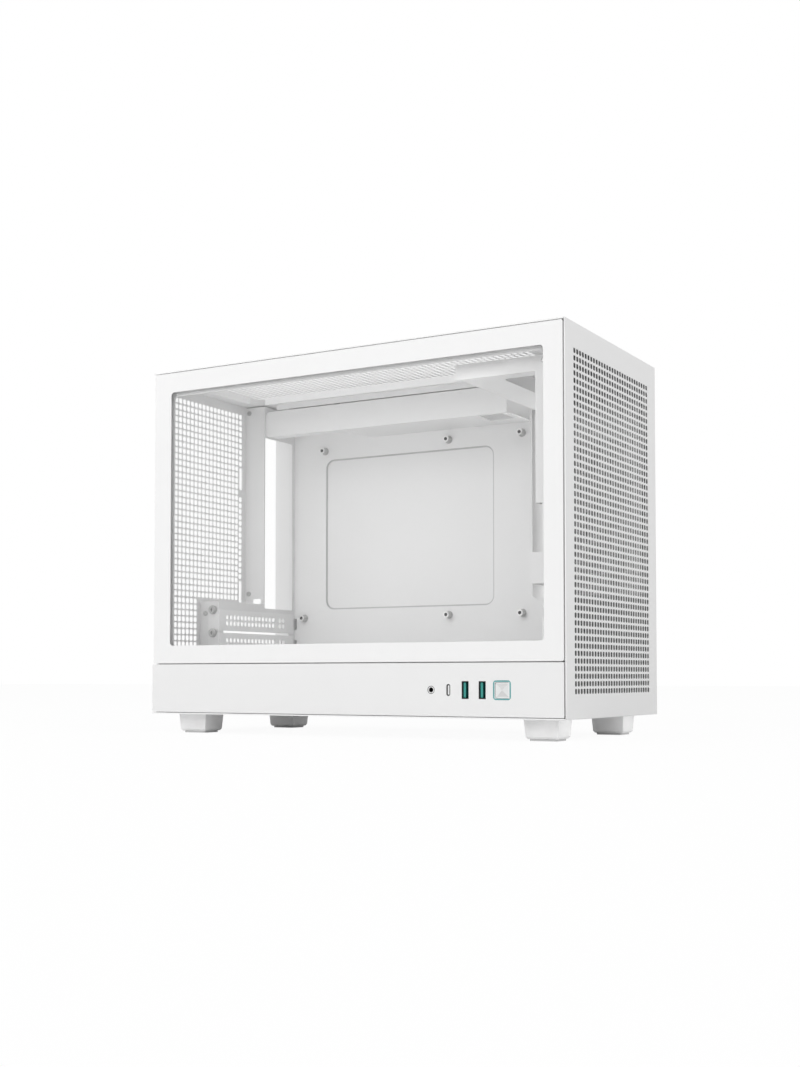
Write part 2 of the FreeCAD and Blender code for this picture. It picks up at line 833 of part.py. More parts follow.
def cable_shelf():
    """A channel over the board that hides the cables: a front wall, a floor and a rear end."""
    far = tray_y
    wall = rounded(pocket_in, shelf_front, shelf_near, shelf_near + steel, shelf_low, shelf_high,
                   "y", shelf_corner)
    wall = fuse([wall, box(shelf_step, shelf_front, shelf_near, shelf_near + steel, shelf_low, shelf_high)])
    rear = pocket_in + shelf_setback
    step = shelf_step
    points = [(rear, shelf_near + steel), (rear, shelf_notch), (step - shelf_bevel, shelf_notch), (step, far),
              (shelf_front, far), (shelf_front, shelf_near + steel)]
    corners = [V(x, y, shelf_low) for x, y in points]
    floor = Part.Face(Part.makePolygon(corners + corners[:1])).extrude(V(0, 0, steel))
    back = box(step, shelf_front, far - steel, far, shelf_low + steel, shelf_low + steel + shelf_lip)
    slot = box(shelf_slot_rear, shelf_slot_front, shelf_slot_near, shelf_slot_far, shelf_low, shelf_low + steel)
    return fuse([wall, floor, back]).cut([slot])


def psu_bracket():
    """The ring that a power supply hangs from, with its short front leg."""
    rear = bracket_rear + bracket_fold
    mouth_rear = bracket_rear + bracket_arm
    mouth_near = bracket_near + bracket_border
    mouth_far = bracket_far - bracket_border
    low, high = bracket_low, bracket_high
    floor = box(rear, front_in, bracket_near, bracket_far, low, low + steel)
    mouth = rounded(mouth_rear, front_in - bracket_front_border, mouth_near, mouth_far, low, low + steel,
                    "z", opening_lip)
    walls = [box(bracket_rear, front_in, bracket_near, bracket_near + steel, low, high),
             box(rear, front_in, bracket_far - steel, bracket_far, low, high),
             box(mouth_rear - steel, mouth_rear, mouth_near, mouth_far, low, high),
             box(rear, rear + steel, bracket_near, bracket_far, low, high),
             box(pillar_rear, front_in, bracket_near, bracket_near + steel, pillar_low, low),
             box(pillar_rear, pillar_rear + steel, bracket_near + steel, bracket_near + pillar_fold,
                 pillar_low, low)]
    screw = through("y", (bracket_screw_x, bracket_near, high - bracket_screw_drop), bracket_screw)
    return fuse([floor] + walls).cut([mouth, screw])


def psu_rest():
    """The shelf low in front that steadies the power supply."""
    near = bracket_near - steel
    low = rest_low - steel
    shelf = box(rest_rear, front_in, near, bracket_near + rest_depth, low, rest_low)
    face = box(rest_rear, front_in, near, bracket_near, low, rest_high)
    lip = box(rest_rear, rest_rear + steel, near, bracket_near + rest_lip, low, rest_high)
    return fuse([face, shelf, lip])


def io_strip():
    """The lower strip on the glass side, a shallow tray with openings for the ports and the button."""
    end = x_rear + 0.2
    outer = rounded(end, door_front, y_glass, near_face, strip_low, strip_high, "y", 1.0)
    inner = box(end + strip_fold, door_front - strip_fold, y_glass + strip_thickness, near_face,
                strip_low + strip_fold, strip_high - strip_fold)
    back = y_glass + strip_thickness
    hole = button_ring / 2
    cuts = [inner, rod("y", jack_outer, (jack_x, y_glass, port_z), strip_thickness),
            oval(0.0, y_glass, back),
            rounded(button_x - hole, button_x + hole, y_glass, back, port_z - hole, port_z + hole,
                    "y", button_corner)]
    for x in (usb_a_rear_x, usb_a_front_x):
        cuts.append(box(x - usb_a_width / 2, x + usb_a_width / 2, y_glass, back,
                        port_z - usb_a_height / 2, port_z + usb_a_height / 2))
    return outer.cut(cuts)


def io_board():
    back = board_y + io_board_thickness
    plate = box(jack_x - io_board_margin, button_x + io_board_margin, board_y, back, port_z - io_board_half,
                port_z + io_board_half)
    header = box(jack_x - header_rear, jack_x + header_front, back, back + header_depth, port_z - header_half,
                 port_z + header_half)
    return fuse([plate, header])


def io_posts():
    posts = []
    for x in (jack_x - io_post_margin, button_x + io_post_margin):
        for z in (port_z - io_post_half, port_z + io_post_half):
            posts.append(rod("y", io_post, (x, side_in, z), board_y - side_in))
    return group(posts)


def usb_a_port(x):
    half_x = usb_a_width / 2
    half_z = usb_a_height / 2
    front = y_glass + shell_inset
    shell = box(x - half_x, x + half_x, front, board_y, port_z - half_z, port_z + half_z)
    hollow = box(x - half_x + port_wall, x + half_x - port_wall, front, board_y - shell_floor,
                 port_z - half_z + port_wall, port_z + half_z - port_wall)
    return shell.cut(hollow)


def usb_a_tongue(x):
    low_x = x - usb_a_width / 2 + port_wall + tongue_gap
    return box(low_x, low_x + tongue_thickness, y_glass + tongue_inset, board_y - shell_floor,
               port_z - tongue_half, port_z + tongue_half)


def oval(inset, front, back):
    """The upright outline of the small data port, shrunk by an inset."""
    half_x = usb_c_width / 2 - inset
    half_z = usb_c_height / 2 - inset
    return rounded(usb_c_x - half_x, usb_c_x + half_x, front, back, port_z - half_z, port_z + half_z,
                   "y", half_x - port_clearance)


def usb_c_port():
    front = y_glass + usb_c_inset
    return oval(0.0, front, board_y).cut(oval(usb_c_wall, front, board_y - port_floor))


def usb_c_tongue():
    """The pale contact block in the small data port."""
    return oval(usb_c_wall + usb_c_inset, y_glass + 2 * usb_c_inset, board_y - port_floor)


def audio_jack():
    front = y_glass + port_clearance * 4
    barrel = rod("y", jack_outer - port_clearance, (jack_x, front, port_z), board_y - front - jack_block)
    body = box(jack_x - jack_body, jack_x + jack_body, board_y - jack_block, board_y, port_z - jack_body,
               port_z + jack_body)
    return fuse([barrel, body]).cut(rod("y", jack_bore, (jack_x, front, port_z), board_y - front - jack_floor))


def light_ring():
    """The lit frame round the button, with a back plate that guides the button's stem."""
    half = button_ring / 2 - port_clearance
    hole = button_size / 2 + button_gap
    back = y_glass + ring_depth
    ring = rounded(button_x - half, button_x + half, y_glass + 2 * port_clearance, back,
                   port_z - half, port_z + half, "y", button_corner - 2 * port_clearance)
    cavity = rounded(button_x - hole, button_x + hole, y_glass, back - ring_floor,
                     port_z - hole, port_z + hole, "y", button_corner - button_ring_corner)
    return ring.cut([cavity, rod("y", button_stem + screw_gap * 4, (button_x, back - 2 * ring_floor, port_z),
                                 3 * ring_floor)])


def power_button():
    """The cap: a shallow four-sided pyramid on its face, and a stem that reaches the switch."""
    half = button_size / 2
    front = y_glass + button_inset
    back = y_glass + ring_depth - ring_floor - button_travel - rest_gap
    cap = rounded(button_x - half, button_x + half, front, back, port_z - half, port_z + half,
                  "y", button_corner - button_ring_corner)
    reach = half - button_band
    base = [V(button_x + a * reach, front, port_z + b * reach) for a, b in ((-1, -1), (1, -1), (1, 1), (-1, 1))]
    tip = V(button_x, front - button_point, port_z)
    faces = [Part.Face(Part.makePolygon(base + base[:1]))]
    for i in range(4):
        side = [base[i], base[(i + 1) % 4], tip]
        faces.append(Part.Face(Part.makePolygon(side + side[:1])))
    pyramid = Part.Solid(Part.makeShell(faces))
    if pyramid.Volume < 0:
        pyramid.reverse()
    stem = rod("y", button_stem, (button_x, back, port_z), switch_top() - rest_gap - button_travel - back)
    return fuse([cap, pyramid, stem])


def switch_top():
    return board_y - switch_height


def button_switch():
    body = box(button_x - switch_half, button_x + switch_half, board_y - switch_body, board_y,
               port_z - switch_half, port_z + switch_half)
    plunger = rod("y", switch_plunger, (button_x, switch_top(), port_z), switch_height - switch_body + port_clearance)
    return fuse([body, plunger])


def door_frame():
    skin = rounded(door_rear, door_front, y_glass, near_face - rest_gap, door_low, door_high, "y", 1.5)
    inside = box(door_rear + cover_fold, door_front - cover_fold, y_glass + cover, near_face,
                 door_low + cover_fold, door_high - cover_fold)
    x0, x1, z0, z1 = window_limits(0.0, 0.0)
    window = rounded(x0, x1, y_glass, y_glass + cover, z0, z1, "y", window_corner)
    return skin.cut([inside, window])


def window_limits(side_lap, end_lap):
    """The window of the glass cover, grown by a lap at its sides and at its top and bottom."""
    return (door_rear + window_rear_border - side_lap, door_front - window_front_border + side_lap,
            door_low + window_bottom_border - end_lap, door_high - window_top_border + end_lap)


def glass_pane():
    x0, x1, z0, z1 = window_limits(glass_side_lap, glass_lap)
    return rounded(x0, x1, y_glass + cover, glass_back, z0, z1, "y", window_corner)


def door_studs():
    reach = flange_depth - cover + socket_depth - stud_end_gap
    return group([stud("y", (x, y_glass + cover, z), 1, reach) for x, z in door_corners()])


def door_sockets():
    return group([socket("y", (x, near_face, z), 1) for x, z in door_corners()])


def side_panel():
    z0 = pan_in + seam
    z1 = door_high
    skin = rounded(x_rear + side_rear_inset, door_front, far_face + rest_gap, y_far, z0, z1, "y", 1.5)
    inside = box(x_rear + side_rear_inset + cover_fold, door_front - cover_fold, far_face, y_far - cover,
                 z0 + cover_fold, z1 - cover_fold)
    vents = gaps_y(y_far - cover, y_far, spread(side_field_rear, side_field_front, side_columns, side_bar),
                   spread(side_field_low, side_field_high, side_rows, side_rib))
    return skin.cut([inside] + vents)


def side_studs():
    reach = flange_depth - cover + socket_depth - stud_end_gap
    return group([stud("y", (x, y_far - cover, z), -1, reach) for x, z in side_corners()])


def side_sockets():
    return group([socket("y", (x, far_face, z), -1) for x, z in side_corners()])


def top_panel():
    plate = box(x_rear, x_cover - rest_gap, y_glass, y_far, z_top - cover, z_top)
    hem_x0 = frame_rear + hem_inset
    hem_x1 = frame_front - hem_inset
    hem = box(hem_x0, hem_x1, side_in, far_in, frame_top + rest_gap, z_top - cover).cut(
        box(hem_x0 + steel, hem_x1 - steel, side_in + steel, far_in - steel, frame_top, z_top - cover))
    gaps = gaps_z(z_top - cover, z_top, spread(-top_field_half, top_field_half, top_columns, top_bar),
                  spread(top_field_near, top_field_far, top_rows, top_bar))
    return fuse([plate, hem]).cut(gaps)


def top_studs():
    reach = z_top - cover - frame_top + socket_depth - stud_end_gap
    return group([stud("z", (x, y, z_top - cover), -1, reach) for x, y in top_corners()])


def top_sockets():
    return group([socket("z", (x, y, frame_top), -1) for x, y in top_corners()])


def hem_heights():
    """The lower and the upper limit of the mesh front's hem."""
    return z_pan + steel + rest_gap + hem_inset, z_top - cover - rest_gap - hem_inset


def front_panel():
    plate = box(x_cover, x_front, y_glass, y_far, z_pan, z_top)
    edges = [e for e in plate.Edges if abs(e.CenterOfMass.x - x_front) < 1e-6]
    plate = plate.makeFillet(cover * 0.7, edges)
    low, high = hem_heights()
    hem = box(frame_front + rest_gap, x_cover, side_in, far_in, low, high).cut(
        box(frame_front, x_cover, side_in + steel, far_in - steel, low + steel, high - steel))
    field = gaps_x(x_cover, x_front, spread(front_field_near, front_field_far, front_columns, front_bar),
                   spread(front_field_low, front_field_high, front_rows, front_bar))
    return fuse([plate, hem]).cut(field)


def dust_screen():
    """The woven screen against the back of the mesh front, inside its hem and clear of its clips."""
    low, high = hem_heights()
    inset = steel + rest_gap
    sheet = box(x_cover - screen_thickness, x_cover, side_in + inset, far_in - inset, low + inset, high - inset)
    start = x_cover - 2 * screen_thickness
    holes = [prism(direction("x"), stud_base + screen_gap, (start, y, z), 3 * screen_thickness)
             for y, z in front_corners()]
    return sheet.cut(holes)


def front_studs():
    reach = x_cover - frame_front + socket_depth - stud_end_gap
    return group([stud("x", (x_cover, y, z), -1, reach) for y, z in front_corners()])


def front_sockets():
    return group([socket("x", (frame_front, y, z), -1) for y, z in front_corners()])


def foot_places():
    return [(x, y) for x in (foot_front_x, foot_rear_x) for y in (foot_near_y, foot_far_y)]


def rectangle(x, y, z, length, width):
    half_x = length / 2
    half_y = width / 2
    points = [V(x - half_x, y - half_y, z), V(x + half_x, y - half_y, z), V(x + half_x, y + half_y, z),
              V(x - half_x, y + half_y, z)]
    return Part.makePolygon(points + points[:1])


def foot(x, y):
    """A tapered foot with a chamfered lower edge."""
    chamfer = foot_pad + foot_chamfer
    lower = foot_length - foot_taper
    side = foot_width - foot_taper
    upper_part = Part.makeLoft([rectangle(x, y, chamfer, lower, side),
                                rectangle(x, y, z_pan, foot_length, foot_width)], True, True)
    lower_part = Part.makeLoft([rectangle(x, y, foot_pad, lower - 2 * foot_edge, side - 2 * foot_edge),
                                rectangle(x, y, chamfer, lower, side)], True, True)
    bore = rod("z", cover_screw_shank, (x, y, z_pan - foot_bore), foot_bore)
    return fuse([upper_part, lower_part]).cut(bore)


def foot_pad_solid(x, y):
    length = foot_length - foot_taper - pad_inset
    width = foot_width - foot_taper - pad_inset
    return rounded(x - length / 2, x + length / 2, y - width / 2, y + width / 2, 0.0, foot_pad, "z",
                   pad_corner)


def foot_screws():
    return group([machine_screw("z", (x, y, pan_in), 1, foot_screw_head, cover_screw_shank, foot_screw_height,
                                foot_screw_length) for x, y in foot_places()])


def inlet_screw_heights():
    return [inlet_z - inlet_screw_pitch / 2, inlet_z + inlet_screw_pitch / 2]


def power_inlet():
    """The flanged mains inlet on the rear wall, upright, with its pin cavity open to the rear."""
    half_y = inlet_width / 2
    half_z = inlet_height / 2
    face = frame_rear - inlet_flange
    flange = rounded(face, frame_rear, inlet_y - half_y - inlet_border, inlet_y + half_y + inlet_border,
                     inlet_z - half_z - inlet_ear, inlet_z + half_z + inlet_ear, "x", inlet_corner)
    body = box(frame_rear, frame_rear + inlet_depth, inlet_y - half_y + screw_gap, inlet_y + half_y - screw_gap,
               inlet_z - half_z + screw_gap, inlet_z + half_z - screw_gap)
    cavity = box(face, frame_rear + inlet_depth - inlet_wall, inlet_y - half_y + inlet_wall,
                 inlet_y + half_y - inlet_wall, inlet_z - half_z + inlet_wall, inlet_z + half_z - inlet_wall)
    cuts = [cavity]
    cuts += [through("x", (face, inlet_y, z), inlet_screw + screw_gap) for z in inlet_screw_heights()]
    return fuse([flange, body]).cut(cuts)


def inlet_pins():
    back = frame_rear + inlet_depth - inlet_wall
    front = frame_rear + pin_inset
    places = [(pin_offset, -pin_pitch), (-pin_offset, 0.0), (pin_offset, pin_pitch)]
    return group([box(front, back, inlet_y + y - pin_half_width, inlet_y + y + pin_half_width,
                      inlet_z + z - pin_half_height, inlet_z + z + pin_half_height) for y, z in places])


def inlet_screws():
    return group([machine_screw("x", (frame_rear - inlet_flange, inlet_y, z), -1, inlet_screw_head, inlet_screw,
                                inlet_screw_height, inlet_screw_length) for z in inlet_screw_heights()])


def export():
    os.makedirs("parts", exist_ok=True)
    nodes = {
        "base_pan": base_pan(),
        "side_frame": side_frame(),
        "far_sill": far_sill(),
        "rear_wall": rear_wall(),
        "rear_post": rear_post(),
        "rear_rim": rear_rim(),
        "rear_pocket": rear_pocket(),
        "front_frame": front_frame(),
        "top_frame": top_frame(),
        "motherboard_tray": motherboard_tray(),
        "tray_standoffs": tray_standoffs(),
        "cable_shelf": cable_shelf(),
        "psu_bracket": psu_bracket(),
        "psu_rest": psu_rest(),
        "slot_screws": slot_screws(),
        "pocket_screws": pocket_screws(),
        "io_strip": io_strip(),
        "io_board": io_board(),
        "io_posts": io_posts(),
        "usb_c_port": usb_c_port(),
        "usb_c_tongue": usb_c_tongue(),
        "audio_jack": audio_jack(),
        "light_ring": light_ring(),
        "power_button": power_button(),
        "button_switch": button_switch(),
        "door_frame": door_frame(),
        "glass_pane": glass_pane(),
        "door_studs": door_studs(),
        "door_sockets": door_sockets(),
        "side_panel": side_panel(),
        "side_studs": side_studs(),
        "side_sockets": side_sockets(),
        "top_panel": top_panel(),
        "top_studs": top_studs(),
        "top_sockets": top_sockets(),
        "front_panel": front_panel(),
        "dust_screen": dust_screen(),
        "front_studs": front_studs(),
        "front_sockets": front_sockets(),
        "foot_screws": foot_screws(),
        "power_inlet": power_inlet(),
        "inlet_pins": inlet_pins(),
        "inlet_screws": inlet_screws(),
    }
    for i in range(slot_count):
        nodes["slot_cover_%d" % (i + 1)] = slot_cover(i)
    for i, x in enumerate((usb_a_rear_x, usb_a_front_x)):
        nodes["usb_a_port_%d" % (i + 1)] = usb_a_port(x)
        nodes["usb_a_tongue_%d" % (i + 1)] = usb_a_tongue(x)
    names = ["front_near", "front_far", "rear_near", "rear_far"]
    for name, (x, y) in zip(names, foot_places()):
        nodes["foot_" + name] = foot(x, y)
        nodes["foot_pad_" + name] = foot_pad_solid(x, y)
    for name, shape in nodes.items():
        shape.exportStep("parts/%s.step" % name)
        print(name, len(shape.Solids), round(shape.Volume, 1), shape.isValid())


export()
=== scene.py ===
# %% [markdown]
# # A small white computer case, dressed for a portrait
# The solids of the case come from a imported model, which is the frame of this scene. Each finished piece
# rides on one of the frame's bodies, so that the covers still pull off and the button still moves. Lengths
# are in metres: X runs from the rear to the mesh front, Y from the glass side to the far side, and Z is up.

# %% The frame
import bmesh
import bpy
import json
from math import pi, radians
from mathutils import Matrix, Vector


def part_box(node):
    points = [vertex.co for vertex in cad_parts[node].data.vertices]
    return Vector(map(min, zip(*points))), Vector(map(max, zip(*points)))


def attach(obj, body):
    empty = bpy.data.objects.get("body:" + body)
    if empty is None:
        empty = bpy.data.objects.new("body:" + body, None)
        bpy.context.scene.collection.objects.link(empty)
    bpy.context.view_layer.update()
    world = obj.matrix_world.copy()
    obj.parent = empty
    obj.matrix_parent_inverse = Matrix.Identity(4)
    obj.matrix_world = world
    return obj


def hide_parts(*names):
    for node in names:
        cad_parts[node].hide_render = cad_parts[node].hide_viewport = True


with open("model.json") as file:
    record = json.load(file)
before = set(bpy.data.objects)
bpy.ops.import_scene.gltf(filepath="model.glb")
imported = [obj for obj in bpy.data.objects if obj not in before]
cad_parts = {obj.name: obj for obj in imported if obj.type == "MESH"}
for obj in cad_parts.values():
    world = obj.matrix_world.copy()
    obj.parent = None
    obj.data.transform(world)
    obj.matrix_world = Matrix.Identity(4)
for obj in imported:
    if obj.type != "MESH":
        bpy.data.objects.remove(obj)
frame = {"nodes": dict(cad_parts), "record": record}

scene = bpy.context.scene
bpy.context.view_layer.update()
mm = 0.001

# %% [markdown]
# ## The camera
# The portrait was taken from low down, in front of the mesh corner. A long lens keeps the upright edges
# nearly parallel. The aim could be set by eye, but the case has known hole pitches, so place, turn and lens
# were worked out from those. The lens looks a little below the middle of the picture, which a vertical
# shift gives.

# %% The camera
picture_height = 1067
focal_pixels = 1380.8
camera_data = bpy.data.cameras.new("portrait")
camera_data.sensor_width = 36.0
camera_data.lens = focal_pixels / picture_height * camera_data.sensor_width
camera_data.shift_y = (623.25 - picture_height / 2) / picture_height
camera = bpy.data.objects.new("portrait", camera_data)
camera.location = (0.58124, -1.01392, 0.0472)
camera.rotation_euler = (radians(92.22), 0.0, radians(29.91))
scene.collection.objects.link(camera)
scene.camera = camera
print("lens", round(camera_data.lens, 1), "mm, shift", round(camera_data.shift_y, 3))

# %% [markdown]
# ## Shader maths as plain sums
# A material is a graph of nodes. Graphs built by hand are long, so one small class wraps a socket and lets
# sums and products be written as Python expressions. Any other node comes from one method, which takes its
# settings first and then the values or links of its sockets.

# %% A wrapped socket and a paint pot
class Wire:
    """One output socket of a shader node, with sums and products."""

    def __init__(self, pot, socket):
        self.pot = pot
        self.socket = socket

    def maths(self, operation, first, second=0.0):
        return self.pot.node("ShaderNodeMath", {"operation": operation}, {0: first, 1: second})

    def __add__(self, other):
        return self.maths("ADD", self, other)

    def __sub__(self, other):
        return self.maths("SUBTRACT", self, other)

    def __mul__(self, other):
        return self.maths("MULTIPLY", self, other)

    def above(self, level):
        return self.maths("GREATER_THAN", self, level)


class Pot:
    """A material under way: its nodes, its shader and its finish."""

    def __init__(self, name):
        self.material = bpy.data.materials.new(name)
        self.material.use_nodes = True
        self.tree = self.material.node_tree
        self.shader = self.tree.nodes["Principled BSDF"]
        self.places = self.node("ShaderNodeTexCoord", {}, {}, "Object")

    def node(self, kind, settings, inputs, output=0):
        """Any node: its settings, then its sockets' values or links. Gives back one output, wrapped."""
        made = self.tree.nodes.new(kind)
        for key, value in settings.items():
            setattr(made, key, value)
        for key, value in inputs.items():
            if isinstance(value, Wire):
                self.tree.links.new(value.socket, made.inputs[key])
            else:
                made.inputs[key].default_value = value
        return Wire(self, made.outputs[output])

    def noise(self, scale, detail=2.0):
        return self.node("ShaderNodeTexNoise", {}, {"Vector": self.places, "Scale": scale, "Detail": detail})

    def blend(self, mask, first, second):
        """A colour that goes from the first to the second as the mask goes from 0 to 1."""
        settings = {"data_type": "RGBA"}
        return self.node("ShaderNodeMix", settings, {0: mask, 6: first, 7: second}, 2)

    def place(self, axis, middle):
        """How far a point lies from a middle along one axis, without its sign."""
        part = self.node("ShaderNodeSeparateXYZ", {}, {0: self.places}, "XYZ".index(axis))
        return part.maths("ABSOLUTE", part - middle)

    def outline_distance(self, across, up, corner):
        """Distance from the outline of a rounded rectangle in x and z, negative inside it."""
        beyond = []
        for axis, (low, high) in (("X", across), ("Z", up)):
            beyond.append(self.place(axis, (low + high) / 2) - ((high - low) / 2 - corner))
        outer = [part.maths("MAXIMUM", part, 0.0) for part in beyond]
        length = outer[0].maths("SQRT", outer[0] * outer[0] + outer[1] * outer[1])
        inner = length.maths("MINIMUM", length.maths("MAXIMUM", beyond[0], beyond[1]), 0.0)
        return length + inner - corner

    def relief(self, height, depth, strength):
        bump = self.node("ShaderNodeBump", {}, {"Height": height, "Distance": depth, "Strength": strength})
        self.finish({"Normal": bump})

    def finish(self, inputs):
        for key, value in inputs.items():
            if isinstance(value, Wire):
                self.tree.links.new(value.socket, self.shader.inputs[key])
            else:
                self.shader.inputs[key].default_value = value
        return self.material


def grey(level, warmth=0.0):
    return (level + warmth, level, level - warmth, 1.0)

# %% [markdown]
# ## Powder coat
# The sheets are steel with a fine white powder coat. Seen close, such a coat is a skin of half-millimetre
# pebbles, glossier on their tops than between them, over a colour that drifts by a percent or so. Two
# noises give that: a fine one for height and gloss, and a broad one for the colour. The tray has a pressed
# field, and its coat has a darker line of painted shade along the field's crease, at a set distance from a
# rounded rectangle.

# %% Powder coat
pressed_field = ((-0.1265, 0.0482), (0.1110, 0.2512), 0.008)
painted_crease_half_width = 0.65 * mm
painted_crease_shade = 0.62


def powder_coat(name, level, gloss, crease=None):
    """White powder coat. Painted shade lines the crease: x and z range and corner of a pressed field's
    outline.
    """
    pot = Pot(name)
    pebbles = pot.noise(1700.0, 3.0)
    drift = pot.noise(14.0)
    colour = pot.blend(drift, grey(level - 0.012, 0.001), grey(level + 0.012, 0.0))
    if crease:
        away = pot.outline_distance(*crease)
        # A darker line of painted shade along the crease of the pressed field.
        painted_shade_line = away.maths("LESS_THAN", away.maths("ABSOLUTE", away), painted_crease_half_width)
        colour = pot.blend(painted_shade_line, colour, grey(level * painted_crease_shade))
    pot.relief(pebbles, 0.00003, 0.5)
    return pot.finish({"Base Color": colour, "Roughness": pebbles * 0.16 + gloss, "IOR": 1.48})


coat_outer = powder_coat("powder_coat_outer", 0.86, 0.40)
# The strip and rear coats are greyer copies of the same white coat: painted shade.
strip_coat_painted_shade = powder_coat("powder_coat_strip_painted_shade", 0.82, 0.42)
coat_inner = powder_coat("powder_coat_inner", 0.87, 0.44)
rear_coat_painted_shade = powder_coat("powder_coat_rear_painted_shade", 0.80, 0.44)
coat_tray = powder_coat("powder_coat_tray", 0.87, 0.44, pressed_field)
print("powder coats made")

# %% [markdown]
# ## Clear glass
# The pane has to let lamp light through, or the inside goes dark. Real refraction costs many samples for
# little to see in a flat pane. So the glass is mostly a clear film with a faint green-grey, and gets its
# reflections from a gloss that grows at shallow angles.

# %% Clear glass
def clear_glass():
    pot = Pot("clear_glass")
    smear = pot.noise(9.0, 4.0)
    pot.finish({"Base Color": (0.92, 0.93, 0.93, 1.0), "Roughness": smear * 0.03 + 0.01, "IOR": 1.5,
                "Alpha": 0.03})
    rim = pot.node("ShaderNodeFresnel", {}, {"IOR": 1.45})
    gloss = pot.node("ShaderNodeBsdfAnisotropic", {}, {"Color": grey(1.0), "Roughness": 0.02})
    both = pot.node("ShaderNodeMixShader", {}, {0: rim * 0.55, 1: Wire(pot, pot.shader.outputs[0]), 2: gloss})
    output = pot.tree.nodes["Material Output"]
    pot.tree.links.new(both.socket, output.inputs["Surface"])
    return pot.material


glass = clear_glass()

# %% [markdown]
# ## Metals and plastics
# Screws and studs are zinc-plated steel with fine turning marks. The ports are black moulded plastic, with
# teal tongues, and the button is a frosted cap in a lit teal frame. Moulded plastic has a fine spark-eroded
# texture, which a small bump gives, and it is never one even shade.

# %% Metals and plastics
def plated_steel(name, level):
    pot = Pot(name)
    marks = pot.noise(2400.0, 2.0)
    cloud = pot.noise(160.0)
    pot.relief(marks, 0.00002, 0.4)
    return pot.finish({"Base Color": pot.blend(cloud, grey(level - 0.05), grey(level + 0.04, 0.006)),
                       "Metallic": 1.0, "Roughness": marks * 0.2 + 0.2})


def moulded(name, colour, roughness, grain=1400.0, coat=0.0):
    pot = Pot(name)
    texture = pot.noise(grain, 3.0)
    drift = pot.noise(60.0)
    light = [min(1.0, c * 1.12 + 0.004) for c in colour] + [1.0]
    dark = [c * 0.9 for c in colour] + [1.0]
    pot.relief(texture, 0.00004, 0.5)
    return pot.finish({"Base Color": pot.blend(drift, dark, light), "Roughness": texture * 0.15 + roughness,
                       "Coat Weight": coat, "IOR": 1.5})


zinc = plated_steel("zinc_plate", 0.50)
zinc_painted_highlight = plated_steel("faced_zinc_painted_highlight", 0.95)
# The oval port's shell is a near-black metal: painted shade for its shadowed lip.
dark_shell_painted_shade = plated_steel("dark_shell_painted_shade", 0.06)
nylon = moulded("white_nylon", (0.78, 0.78, 0.76), 0.45)
black = moulded("black_moulding", (0.018, 0.018, 0.020), 0.38)
teal = moulded("teal_tongue", (0.030, 0.31, 0.27), 0.30, coat=0.3)
feet_white = moulded("foot_moulding", (0.86, 0.86, 0.86), 0.45)
rubber = moulded("pad_rubber", (0.60, 0.60, 0.60), 0.75, 900.0)
board_green = moulded("solder_mask", (0.02, 0.06, 0.045), 0.25, 700.0, 0.5)

# %% [markdown]
# ## The button and the small ports
# The button, the jack and the oval port are a few millimetres wide, so a seam or a border on them is one or
# two tenths of that. Such thin lines are drawn by distance from the middle of the piece, on top of its real
# shape. The cap's darker facets and the dark gap round the oval port's tongue are painted shade. The middles
# come from the frame, so the lines stay on their pieces.

# %% The button and the small ports
def middle_of(node):
    """The middle of a solid, across and up."""
    low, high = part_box(node)
    return [float(low[i] + high[i]) / 2 for i in (0, 2)]


button_x, button_z = middle_of("light_ring")
jack_x, jack_z = middle_of("audio_jack")
oval_x, oval_z = middle_of("usb_c_port")
teal_from = 6.1 * mm
facets_to = 4.8 * mm
bore_radius = 1.9 * mm
collar_radius = 2.55 * mm
tongue_half_width = 0.7 * mm
tongue_half_height = 3.4 * mm


def lit_frame():
    """The button's frame: teal plastic with a weak glow, and a white lip on its inside."""
    pot = Pot("lit_teal")
    drift = pot.noise(300.0)
    across, up = pot.place("X", button_x), pot.place("Z", button_z)
    rim = across.maths("MAXIMUM", across, up).above(teal_from)
    teal_colour = pot.blend(drift, (0.07, 0.27, 0.28, 1.0), (0.10, 0.33, 0.33, 1.0))
    colour = pot.blend(rim, grey(0.84), teal_colour)
    glow = pot.blend(rim, grey(0.3), (0.12, 0.46, 0.45, 1.0))
    return pot.finish({"Base Color": colour, "Roughness": drift * 0.1 + 0.25, "Emission Color": glow,
                       "Emission Strength": 0.08, "Coat Weight": 0.4})


def frosted_cap():
    """The button's cap: a white border round four facets, the upper and lower two painted darker as shade."""
    pot = Pot("frosted_cap")
    grain = pot.noise(2000.0, 3.0)
    across, up = pot.place("X", button_x), pot.place("Z", button_z)
    border = across.maths("MAXIMUM", across, up).above(facets_to)
    # The upper and lower facets are painted darker: painted shade.
    painted_shade_facets = (up - across).above(0.0)
    facets = pot.blend(painted_shade_facets, (0.76, 0.77, 0.77, 1.0), (0.64, 0.64, 0.64, 1.0))
    colour = pot.blend(border, facets, grey(0.88))
    pot.relief(grain, 0.00004, 0.5)
    return pot.finish({"Base Color": colour, "Roughness": grain * 0.15 + 0.22, "Coat Weight": 0.4,
                       "IOR": 1.5})


def jack_moulding():
    """The headset jack: a white collar with a dark seam round it, and a black bore."""
    pot = Pot("jack_moulding")
    grain = pot.noise(1400.0, 3.0)
    across, up = pot.place("X", jack_x), pot.place("Z", jack_z)
    reach = across.maths("SQRT", across * across + up * up)
    collar = pot.blend(reach.above(collar_radius), grey(0.82), grey(0.10))
    colour = pot.blend(reach.above(bore_radius), grey(0.012), collar)
    pot.relief(grain, 0.00004, 0.5)
    return pot.finish({"Base Color": colour, "Roughness": grain * 0.15 + 0.35, "IOR": 1.5})


